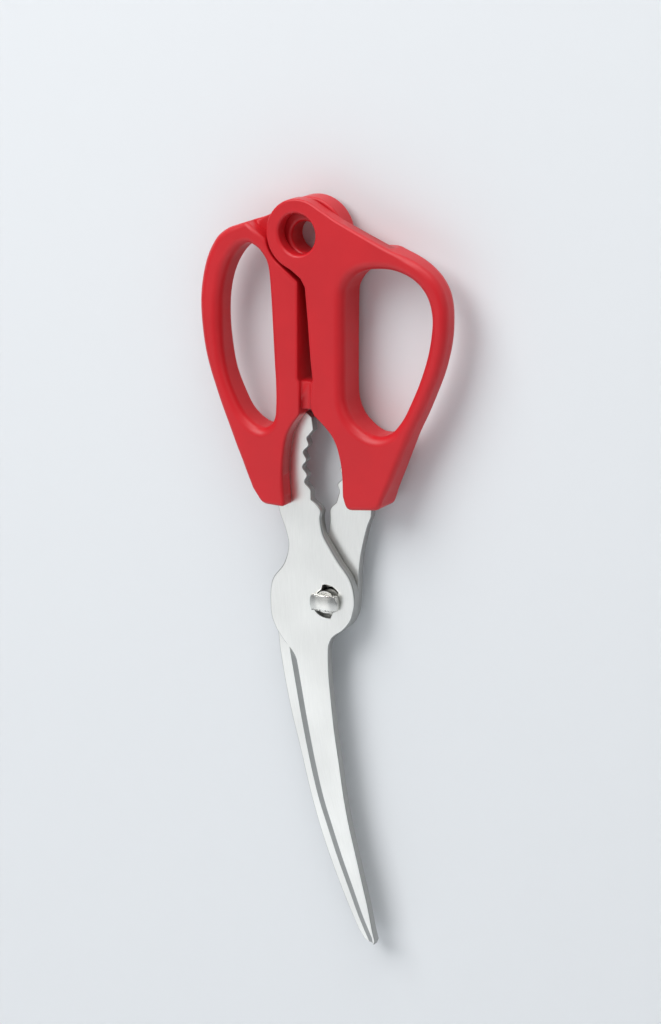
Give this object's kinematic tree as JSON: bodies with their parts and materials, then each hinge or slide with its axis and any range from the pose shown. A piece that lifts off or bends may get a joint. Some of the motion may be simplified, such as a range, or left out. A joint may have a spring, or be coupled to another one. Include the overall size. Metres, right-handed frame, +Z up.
{
  "type": "poultry shears",
  "caption": "Take-apart poultry shears with curved blades, ring handles, a nutcracker gap and an eye to hang them by.",
  "frame": {"origin": "on the axis of the hanging eye in the handles, in the plane where the two blades meet", "axes": "+Z up, with the shears hanging closed and the tips down; -Y towards the front, where the stud's head shows; the blades lie in XZ and curve towards +X at the tips"},
  "size_m": [0.0896, 0.013, 0.2469],
  "materials": {
    "blade_steel": "satin, with a fine grain along the blade",
    "stud_steel": "polished",
    "handle_plastic": "satin moulded plastic"
  },
  "bodies": {
    "rear_half": {"rear_blade": "blade_steel", "pivot_stud": "stud_steel", "right_handle": "handle_plastic"},
    "front_half": {"front_blade": "blade_steel", "left_handle": "handle_plastic"}
  },
  "joints": [
    {"name": "blade_pivot", "type": "hinge", "parent": "rear_half", "child": "front_half", "pos_m": [0.0078, 0, -0.12], "axis": [0, -1, 0], "range_deg": [0, 110]}
  ]
}
